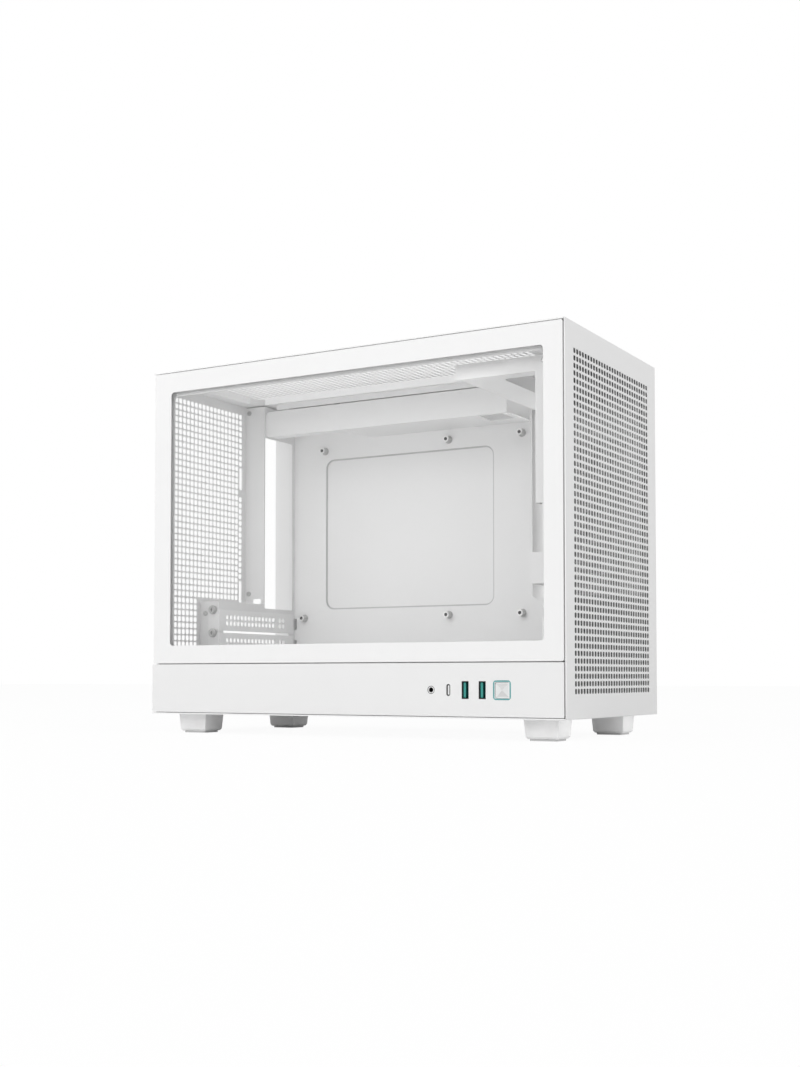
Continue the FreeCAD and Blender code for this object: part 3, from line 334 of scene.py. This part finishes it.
def pale_tongue():
    """The oval port's tongue: pale, with the port's dark gap drawn round it as painted shade."""
    pot = Pot("pale_tongue")
    grain = pot.noise(1400.0, 3.0)
    beside = pot.place("X", oval_x).above(tongue_half_width)
    beyond = pot.place("Z", oval_z).above(tongue_half_height)
    # The dark gap round the tongue is painted shade.
    painted_shade_gap = beside.maths("MAXIMUM", beside, beyond)
    colour = pot.blend(painted_shade_gap, grey(0.80), grey(0.02))
    pot.relief(grain, 0.00004, 0.5)
    return pot.finish({"Base Color": colour, "Roughness": grain * 0.15 + 0.35, "IOR": 1.5})


teal_lit = lit_frame()
cap_frost = frosted_cap()
jack_coat = jack_moulding()
tongue_coat = pale_tongue()
print("button middle:", round(button_x, 4), round(button_z, 4))

# %% [markdown]
# ## The screen behind the mesh
# A fine dark screen lies against the mesh's back. Its threads run across and along, half a millimetre
# apart. Two waves give the threads, and the gaps between them are partly clear, so that some light still
# passes.

# %% The screen behind the mesh
def woven_screen():
    """A fine dark weave, thinner between its threads."""
    pot = Pot("screen_weave")
    across = pot.node("ShaderNodeTexWave", {"bands_direction": "Y"}, {"Vector": pot.places, "Scale": 320.0})
    along = pot.node("ShaderNodeTexWave", {"bands_direction": "Z"}, {"Vector": pot.places, "Scale": 320.0})
    threads = across.maths("MAXIMUM", across, along)
    drift = pot.noise(30.0)
    pot.relief(threads, 0.0001, 0.6)
    colour = pot.blend(threads, (0.05, 0.05, 0.052, 1.0), (0.14, 0.14, 0.144, 1.0))
    return pot.finish({"Base Color": colour, "Roughness": drift * 0.1 + 0.6, "Alpha": threads * 0.25 + 0.6})


screen_weave = woven_screen()
print("materials:", len(bpy.data.materials))

# %% [markdown]
# ## Dressing the solids
# Most pieces of the frame have the right shape already and only need their finish, so a table gives each
# one its material. The rear sheets and the lower strip get greyer copies of the white coat, as painted shade.

# %% Finishes of the carried-over solids
finishes = {
    coat_outer: ["rear_rim", "far_sill", "side_frame"],
    coat_inner: ["top_frame", "front_frame"],
    rear_coat_painted_shade: ["rear_pocket", "rear_post"],
    screen_weave: ["dust_screen"],
    tongue_coat: ["usb_c_tongue"],
    jack_coat: ["audio_jack"],
    zinc: ["door_studs", "side_studs", "top_studs", "front_studs", "inlet_pins"],
    nylon: ["door_sockets", "side_sockets", "top_sockets", "front_sockets", "io_posts"],
    black: ["button_switch", "power_inlet", "usb_a_port_1", "usb_a_port_2"],
    teal: ["usb_a_tongue_1", "usb_a_tongue_2"],
    dark_shell_painted_shade: ["usb_c_port"],
    board_green: ["io_board"],
    teal_lit: ["light_ring"],
    cap_frost: ["power_button"],
    rubber: ["foot_pad_front_near", "foot_pad_front_far", "foot_pad_rear_near", "foot_pad_rear_far"],
}


def coat(thing, material):
    """Gives a piece one finish."""
    thing.data.materials.clear()
    thing.data.materials.append(material)


for material, names in finishes.items():
    for name in names:
        coat(frame["nodes"][name], material)

# %% [markdown]
# ## Helpers for new pieces
# A new piece is drawn in a bmesh, which is a mesh that operators can change. When it is done it becomes an
# object, gets its finish, and rides on its body. A piece that starts from a solid of the frame is a merged
# copy: the frame's own mesh is loose triangles, so its doubles are merged and flat neighbours are joined
# first.

# %% From a bmesh to a piece
weld_distance = 0.001 * mm
body_of = {name: body for body, names in frame["record"]["behaviour"]["bodies"].items() for name in names}


def piece(name, bm, material, nodes):
    """Makes the object of a finished bmesh, in place of the named solids."""
    mesh = bpy.data.meshes.new(name)
    mesh.materials.append(material)
    bm.to_mesh(mesh)
    bm.free()
    thing = bpy.data.objects.new(name, mesh)
    scene.collection.objects.link(thing)
    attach(thing, body_of[nodes[0]])
    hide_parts(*nodes)
    return thing


def merged(node):
    """A bmesh copy of a solid, with its doubles merged and its flat neighbours joined."""
    bm = bmesh.new()
    bm.from_mesh(frame["nodes"][node].data)
    bmesh.ops.remove_doubles(bm, verts=bm.verts[:], dist=weld_distance)
    bmesh.ops.dissolve_limit(bm, angle_limit=radians(0.6), verts=bm.verts[:], edges=bm.edges[:])
    return bm


def soften(thing, width, segments=2):
    """Rounds sharp edges a little, as paint and folding do, and keeps flat faces flat."""
    thing.data.shade_smooth()
    thing.data.set_sharp_from_angle(angle=radians(35))
    bevel = thing.modifiers.new("edge", "BEVEL")
    bevel.width = width
    bevel.segments = segments
    bevel.limit_method = "ANGLE"
    bevel.angle_limit = radians(40)
    bevel.harden_normals = True

# %% [markdown]
# ## Punched sheet
# The mesh front has more than a thousand punched holes, each a square of about four millimetres with eased
# corners. Cutting them one by one would take minutes. Instead, a flat grid has one face per hole: each face
# is inset by half a bar, the corners of the insets are cut off, the middles are deleted, and the rest gets
# its thickness. The plain solid with its coarse gaps is cut open round the field, and the punched field
# takes that place.

# %% A punched field, and a sheet that is cut open for it
eased_share = 0.22


def punched_field(bm, axis, low, high, counts, bars, faces_at, closed):
    """Adds a perforated rectangle to a bmesh. Low and high are its corners on the two axes across the sheet.

    An inset has one width all round, so the grid is squeezed until both bars are equal, and stretched back
    after. Columns that are named closed keep their metal."""
    field = bmesh.new()
    bmesh.ops.create_grid(field, x_segments=counts[0], y_segments=counts[1], size=0.5)
    cells = field.faces[:]
    squeeze = bars[1] / bars[0]
    span = (high[0] - low[0]) * squeeze
    bmesh.ops.scale(field, vec=(span, high[1] - low[1], 1.0), verts=field.verts[:])
    hole = min(span / counts[0], (high[1] - low[1]) / counts[1]) - bars[1]
    bmesh.ops.inset_individual(field, faces=cells, thickness=bars[1] / 2, use_even_offset=True)
    corners = {vert for face in cells for vert in face.verts}
    bmesh.ops.bevel(field, geom=list(corners), offset=hole * eased_share, offset_type="OFFSET", segments=1,
                    profile=0.5, affect="VERTICES", material=-1)
    middles = [face for face in field.faces if face.calc_area() > 0.7 * hole * hole
               and int((face.calc_center_median().x / span + 0.5) * counts[0]) not in closed]
    bmesh.ops.delete(field, geom=middles, context="FACES")
    bmesh.ops.scale(field, vec=(1 / squeeze, 1.0, 1.0), verts=field.verts[:])
    bmesh.ops.recalc_face_normals(field, faces=field.faces[:])
    thickness = faces_at[1] - faces_at[0]
    bmesh.ops.solidify(field, geom=field.faces[:], thickness=thickness)
    bottom = min(vert.co.z for vert in field.verts)
    centre = ((low[0] + high[0]) / 2, (low[1] + high[1]) / 2)
    turns = {"x": Matrix(((0, 0, 1), (1, 0, 0), (0, 1, 0))), "y": Matrix(((1, 0, 0), (0, 0, -1), (0, 1, 0))),
             "z": Matrix.Identity(3)}
    shifts = {"x": (faces_at[0], centre[0], centre[1]), "y": (centre[0], faces_at[1], centre[1]),
              "z": (centre[0], centre[1], faces_at[0])}
    bmesh.ops.translate(field, vec=(0, 0, -bottom), verts=field.verts[:])
    bmesh.ops.transform(field, matrix=turns[axis].to_4x4(), verts=field.verts[:])
    bmesh.ops.translate(field, vec=shifts[axis], verts=field.verts[:])
    bmesh.ops.recalc_face_normals(field, faces=field.faces[:])
    patch = bpy.data.meshes.new("patch")
    field.to_mesh(patch)
    bm.from_mesh(patch)
    field.free()
    bpy.data.meshes.remove(patch)
    return len(middles)


def cut_open(bm, axis, low, high, faces_at):
    """Cuts a rectangle out of one sheet of a bmesh, and closes the cut's edge between the two faces."""
    across = [i for i in range(3) if "xyz"[i] != axis]
    along = "xyz".index(axis)
    for i, index in enumerate(across):
        for value in (low[i], high[i]):
            point = [0.0, 0.0, 0.0]
            normal = [0.0, 0.0, 0.0]
            point[index] = value
            normal[index] = 1.0
            whole = bm.verts[:] + bm.edges[:] + bm.faces[:]
            bmesh.ops.bisect_plane(bm, geom=whole, dist=1e-7, plane_co=point, plane_no=normal)
    slack = 1e-5
    inside = []
    for face in bm.faces:
        middle = face.calc_center_median()
        in_field = all(low[i] < middle[index] < high[i] for i, index in enumerate(across))
        if in_field and faces_at[0] - slack < middle[along] < faces_at[1] + slack:
            inside.append(face)
    bmesh.ops.delete(bm, geom=inside, context="FACES")
    rim = [edge for edge in bm.edges if edge.is_boundary]
    bmesh.ops.bridge_loops(bm, edges=rim)


def punched_sheet(name, node, axis, faces_at, fields, bars, material, skin=None, closed=()):
    """A sheet with fine holes in place of a solid with coarse gaps. A field is low, high and counts."""
    bm = merged(node)
    for low, high, counts in fields:
        cut_open(bm, axis, low, high, faces_at)
    holes = sum(punched_field(bm, axis, low, high, counts, bars, skin or faces_at, closed)
                for low, high, counts in fields)
    thing = piece(name, bm, material, [node])
    print(name, "has", holes, "holes and", len(thing.data.polygons), "faces")


# %% [markdown]
# ## The mesh front
# Twenty-nine columns and forty-six rows, with plain metal left round them. The mesh is stamped thinner than
# the sheet round it, so that from the side its holes don't close up. The bars between the rows are wider
# than those between the columns, so each hole is a little wider than tall.

# %% The mesh front
def field_of(first, pitch, counts):
    """The rectangle that a grid of holes fills, from its first hole's centre, its pitches and its counts."""
    low = [first[i] - pitch[i] / 2 for i in (0, 1)]
    high = [low[i] + pitch[i] * counts[i] for i in (0, 1)]
    return [v * mm for v in low], [v * mm for v in high], counts


front_field = field_of((-78.6, 36.5), (5.471, 5.56), (29, 46))
punched_sheet("front_mesh", "front_panel", "x", (0.190, 0.191), [front_field], (1.3 * mm, 1.66 * mm),
              coat_outer, skin=(0.1905, 0.191))

# %% [markdown]
# ## The rear wall, the covers and the base
# The same punching serves the fan field at the rear, the top and far covers and the base. At the rear the
# field is in four parts, because it narrows beside the connector pocket and has a short outer column.

# %% The rear wall
pitch = 5.46
rear_fields = [
    field_of((-79.5, 120.02), (pitch, 5.44), (18, 32)), field_of((-79.5, 75.75), (pitch, 5.5), (7, 8)),
    field_of((18.95, 244.6), (pitch, 5.5), (1, 9)), field_of((18.95, 140.0), (pitch, 5.5), (1, 14)),
]
punched_sheet("rear_mesh", "rear_wall", "x", (-0.185, -0.184), rear_fields, (1.05 * mm, 1.05 * mm),
              rear_coat_painted_shade, skin=(-0.1845, -0.184))

# %% The top, far and base sheets
top_field = field_of((-176.0, -69.5), (5.5, 5.5), (65, 25))
punched_sheet("top_mesh", "top_panel", "z", (0.307, 0.308), [top_field], (1.4 * mm, 1.4 * mm), coat_outer,
              skin=(0.3077, 0.308))
far_field = field_of((96.5, 72.0), (5.5, 5.5), (13, 33))
punched_sheet("far_mesh", "side_panel", "y", (0.095, 0.096), [far_field], (1.4 * mm, 1.4 * mm), coat_outer)
base_field = field_of((-129.0, -56.0), (5.5, 5.5), (48, 19))
punched_sheet("base_mesh", "base_pan", "z", (0.016, 0.017), [base_field], (1.4 * mm, 1.4 * mm), coat_outer)

# %% [markdown]
# ## Slot covers
# Four blanking plates close the expansion slots. Each has two rows of small holes: fourteen columns, a
# plain place, and two columns more.

# %% Slot covers
slot_step = 20.32
slot_middles = [97.25 - slot_step * i for i in range(4)]
for i, height in enumerate(slot_middles):
    field = field_of((-28.6, height - 2.7), (5.4, 5.4), (17, 2))
    node = "slot_cover_%d" % (i + 1)
    punched_sheet("slot_plate_%d" % (i + 1), node, "x", (-0.163, -0.1621), [field], (1.7 * mm, 1.7 * mm),
                  coat_inner, closed=(14,))

# %% [markdown]
# ## Folded and moulded pieces with eased edges
# A folded sheet never has a knife edge: its corners are rounded by the fold and by the paint, and they
# catch a line of light. A narrow bevel on the sharp edges gives that line. The feet are moulded, so theirs
# is wider.

# %% Eased edges
eased = {
    "door_frame": (coat_outer, 0.25), "io_strip": (strip_coat_painted_shade, 0.25), "motherboard_tray": (coat_tray, 0.2),
    "cable_shelf": (coat_inner, 0.25), "psu_bracket": (coat_inner, 0.2), "psu_rest": (coat_inner, 0.2),
    "foot_front_near": (feet_white, 0.6), "foot_front_far": (feet_white, 0.6),
    "foot_rear_near": (feet_white, 0.6), "foot_rear_far": (feet_white, 0.6), "glass_pane": (glass, 0.4),
}
for node, (material, width) in eased.items():
    thing = piece(node + "_eased", merged(node), material, [node])
    soften(thing, width * mm)
print("eased:", len(eased))

# %% [markdown]
# ## Screws
# The slot covers are held by pan-head screws with a cross recess. The head starts as a disc, its rim is
# rounded, and two crossed bars cut the recess. One head is made once and set down at each place.

# %% A screw with a cross recess
def screw(bm, place, direction, radius, height, shank, length):
    """Adds one screw whose head stands on its place and looks along the direction."""
    made = bmesh.new()
    bmesh.ops.create_cone(made, cap_ends=True, segments=32, radius1=radius, radius2=radius, depth=height)
    bmesh.ops.translate(made, vec=(0, 0, height / 2), verts=made.verts[:])
    rim = [edge for edge in made.edges if all(vert.co.z > height * 0.9 for vert in edge.verts)]
    bmesh.ops.bevel(made, geom=rim, offset=height * 0.55, offset_type="OFFSET", segments=4, profile=0.6,
                    affect="EDGES", material=-1)
    head = bpy.data.meshes.new("head")
    made.to_mesh(head)
    made.free()
    cross = bmesh.new()
    for turn in (0.0, pi / 2):
        bar = bmesh.ops.create_cube(cross, size=1.0)["verts"]
        bmesh.ops.scale(cross, vec=(radius * 1.15, radius * 0.26, height), verts=bar)
        low = [vert for vert in bar if vert.co.z < 0]
        bmesh.ops.scale(cross, vec=(0.45, 0.6, 1.0), verts=low)
        bmesh.ops.rotate(cross, cent=(0, 0, 0), matrix=Matrix.Rotation(turn, 3, "Z"), verts=bar)
    bmesh.ops.translate(cross, vec=(0, 0, height * 0.95), verts=cross.verts[:])
    cutter = bpy.data.meshes.new("cutter")
    cross.to_mesh(cutter)
    cross.free()
    body = bpy.data.objects.new("head", head)
    tool = bpy.data.objects.new("cutter", cutter)
    for thing in (body, tool):
        scene.collection.objects.link(thing)
    cut = body.modifiers.new("cut", "BOOLEAN")
    cut.object = tool
    cut.solver = "EXACT"
    cut.use_self = True
    done = bpy.data.meshes.new_from_object(body.evaluated_get(bpy.context.evaluated_depsgraph_get()))
    for thing in (body, tool):
        bpy.data.objects.remove(thing)
    one = bmesh.new()
    one.from_mesh(done)
    stem = bmesh.ops.create_cone(one, cap_ends=True, segments=24, radius1=shank * 0.8, radius2=shank,
                                 depth=length)["verts"]
    bmesh.ops.translate(one, vec=(0, 0, -length / 2), verts=stem)
    turn = Vector((0, 0, 1)).rotation_difference(Vector(direction)).to_matrix().to_4x4()
    bmesh.ops.transform(one, matrix=Matrix.Translation(place) @ turn, verts=one.verts[:])
    one.to_mesh(done)
    one.free()
    bm.from_mesh(done)
    bpy.data.meshes.remove(done)


def screws(name, places, direction, radius, height, shank, length, nodes):
    """Screws of one size, in place of the named solids. Places and sizes are in millimetres."""
    bm = bmesh.new()
    for place in places:
        screw(bm, Vector(place) * mm, direction, radius * mm, height * mm, shank * mm, length * mm)
    thing = piece(name, bm, zinc, nodes)
    thing.data.shade_smooth()
    thing.data.set_sharp_from_angle(angle=radians(30))


over_middle = 9.0
slot_places = [(-168.5, -40.9, height + over_middle) for height in slot_middles]
screws("slot_screw_heads", slot_places, (0, -1, 0), 3.9, 2.8, 1.6, 5.0,
       ["slot_screws"])
wall_places = [(-180.0, 27.5, 293.0), (-180.0, 27.5, 124.1), (-177.9, -40.0, 103.4)]
screws("pocket_screw_heads", wall_places, (0, -1, 0), 2.2, 1.1, 1.2, 1.0, ["pocket_screws"])
feet_at = [(x, y, 17.0) for x in (166.4, -155.4) for y in (-73.5, 57.8)]
screws("foot_screw_heads", feet_at, (0, 0, 1), 3.2, 2.0, 1.6, 8.5, ["foot_screws"])
screws("inlet_screw_heads", [(-187.2, -66.0, z) for z in (25.0, 65.0)], (-1, 0, 0), 3.0, 1.8, 1.5, 6.0,
       ["inlet_screws"])
print("screws set")

# %% [markdown]
# ## Standoffs
# Nine tapped posts carry the motherboard. Each is a turned part: a flared collar on the tray, a bright
# straight body, an eased rim and a threaded hole. A turned part is a profile spun round its axis, so
# four points on a line are spun, and the hole is the inner part of the same line. The hole is painted black
# as painted shade, and the faced end is painted near-white zinc as a painted highlight.

# %% Standoffs
bore_to = 1.55 * mm
end_from = 6.05 * mm
tray_face = 77.5


def standoff(bm, place):
    """Adds one turned post. The profile is radius and height in millimetres from the tray's face."""
    made = bmesh.new()
    profile = [(1.5, 1.4), (1.5, 6.3), (1.6, 6.4), (2.6, 6.4), (2.9, 6.1), (2.9, 1.2), (3.1, 0.7), (3.6, 0.2),
               (3.6, 0.0)]
    verts = [bmesh.ops.create_vert(made, co=(radius * mm, 0.0, height * mm))["vert"][0]
             for radius, height in profile]
    edges = [made.edges.new(pair) for pair in zip(verts, verts[1:])]
    bmesh.ops.spin(made, geom=verts + edges, cent=(0, 0, 0), axis=(0, 0, 1), angle=2 * pi, steps=28,
                   use_merge=True)
    bmesh.ops.remove_doubles(made, verts=made.verts[:], dist=weld_distance)
    rims = [edge for edge in made.edges if edge.is_boundary]
    bmesh.ops.holes_fill(made, edges=rims)
    bmesh.ops.recalc_face_normals(made, faces=made.faces[:])
    # Bore faces get black as painted shade, and end faces get near-white zinc as a painted highlight.
    for face in made.faces:
        in_bore = all(vert.co.xy.length < bore_to for vert in face.verts)
        on_end = min(vert.co.z for vert in face.verts) > end_from
        face.material_index = 1 if in_bore else 2 if on_end else 0
    turn = Vector((0, 0, 1)).rotation_difference(Vector((0, -1, 0))).to_matrix().to_4x4()
    bmesh.ops.transform(made, matrix=Matrix.Translation(place) @ turn, verts=made.verts[:])
    post = bpy.data.meshes.new("post")
    made.to_mesh(post)
    made.free()
    bm.from_mesh(post)
    bpy.data.meshes.remove(post)


post_places = [(-128.0, 260.1), (-150.9, 102.62)]
post_places += [(x, z) for x in (4.0, 76.4) for z in (260.1, 102.62)]
post_places += [(x, 56.9) for x in (-150.9, 4.0, 76.4)]
posts = bmesh.new()
for x, z in post_places:
    standoff(posts, Vector((x, tray_face, z)) * mm)
standoffs = piece("board_standoffs", posts, zinc, ["tray_standoffs"])
# The second slot paints shade into the bores, and the third paints a highlight on the faced ends.
for finish in (black, zinc_painted_highlight):
    standoffs.data.materials.append(finish)
standoffs.data.shade_smooth()
standoffs.data.set_sharp_from_angle(angle=radians(28))
print("standoffs:", len(post_places), "posts,", len(standoffs.data.polygons), "faces")

# %% [markdown]
# ## Light and floor
# The case stands in soft, even studio light, a little stronger on the glass side than on the mesh front.
# The world gives most of it. A bar of light at the floor brightens the front feet. Two weak sheets of light
# inside stand for what white walls throw back: one behind the glass, one behind the tray. To the camera,
# and in reflections, the world and the floor are white, while the floor still keeps a part of the shadow
# under the case.

# %% The world
world = bpy.data.worlds.new("studio")
scene.world = world
world.use_nodes = True
sky = world.node_tree
fill = sky.nodes["Background"]
fill.inputs["Color"].default_value = grey(0.98)
fill.inputs["Strength"].default_value = 0.72
white = sky.nodes.new("ShaderNodeBackground")
white.inputs["Color"].default_value = grey(1.0)
white.inputs["Strength"].default_value = 1.0
path = sky.nodes.new("ShaderNodeLightPath")
seen = path.outputs["Is Camera Ray"]
for other in ("Is Glossy Ray", "Is Transmission Ray"):
    either = sky.nodes.new("ShaderNodeMath")
    either.operation = "MAXIMUM"
    sky.links.new(seen, either.inputs[0])
    sky.links.new(path.outputs[other], either.inputs[1])
    seen = either.outputs[0]
choose = sky.nodes.new("ShaderNodeMixShader")
sky.links.new(seen, choose.inputs[0])
sky.links.new(fill.outputs[0], choose.inputs[1])
sky.links.new(white.outputs[0], choose.inputs[2])
sky.links.new(choose.outputs[0], sky.nodes["World Output"].inputs["Surface"])

# %% Lamps
def soft_lamp(name, place, aim, size, power):
    """A sheet of light that neither the camera nor a reflection shows."""
    data = bpy.data.lights.new(name, "AREA")
    data.shape = "RECTANGLE"
    data.size, data.size_y = size
    data.energy = power
    lamp = bpy.data.objects.new(name, data)
    lamp.location = place
    lamp.rotation_euler = (Vector(aim) - Vector(place)).to_track_quat("-Z", "Y").to_euler()
    lamp.visible_glossy = False
    lamp.visible_camera = False
    scene.collection.objects.link(lamp)


soft_lamp("key", (-0.5, -2.2, 1.5), (0.0, 0.0, 0.15), (1.6, 1.6), 22.0)
soft_lamp("front_fill", (2.0, -0.4, 1.7), (0.1, 0.0, 0.15), (1.4, 1.4), 5.0)
soft_lamp("inner_fill", (-0.01, -0.084, 0.19), (-0.01, 0.0, 0.19), (0.28, 0.17), 0.058)
soft_lamp("far_fill", (0.145, 0.0815, 0.165), (0.145, 0.095, 0.165), (0.08, 0.22), 0.17)
soft_lamp("foot_fill", (0.190, 0.0, 0.008), (0.10, 0.0, 0.008), (0.17, 0.010), 0.003)

# %% The floor
floor_mesh = bmesh.new()
bmesh.ops.create_grid(floor_mesh, x_segments=1, y_segments=1, size=6.0)
floor_data = bpy.data.meshes.new("floor")
floor_mesh.to_mesh(floor_data)
floor_mesh.free()
floor = bpy.data.objects.new("floor", floor_data)
scene.collection.objects.link(floor)
pale = Pot("pale_floor")
pale.finish({"Base Color": grey(0.93), "Roughness": 0.9, "Specular IOR Level": 0.1})
lamp_white = pale.node("ShaderNodeEmission", {}, {"Color": grey(1.0), "Strength": 1.0})
eye = pale.node("ShaderNodeLightPath", {}, {}, "Is Camera Ray")
white_share = 0.94
painted = Wire(pale, pale.shader.outputs[0])
mixed = pale.node("ShaderNodeMixShader", {}, {0: eye * white_share, 1: painted, 2: lamp_white})
pale.tree.links.new(mixed.socket, pale.tree.nodes["Material Output"].inputs["Surface"])
coat(floor, pale.material)
scene.view_settings.view_transform = "Standard"
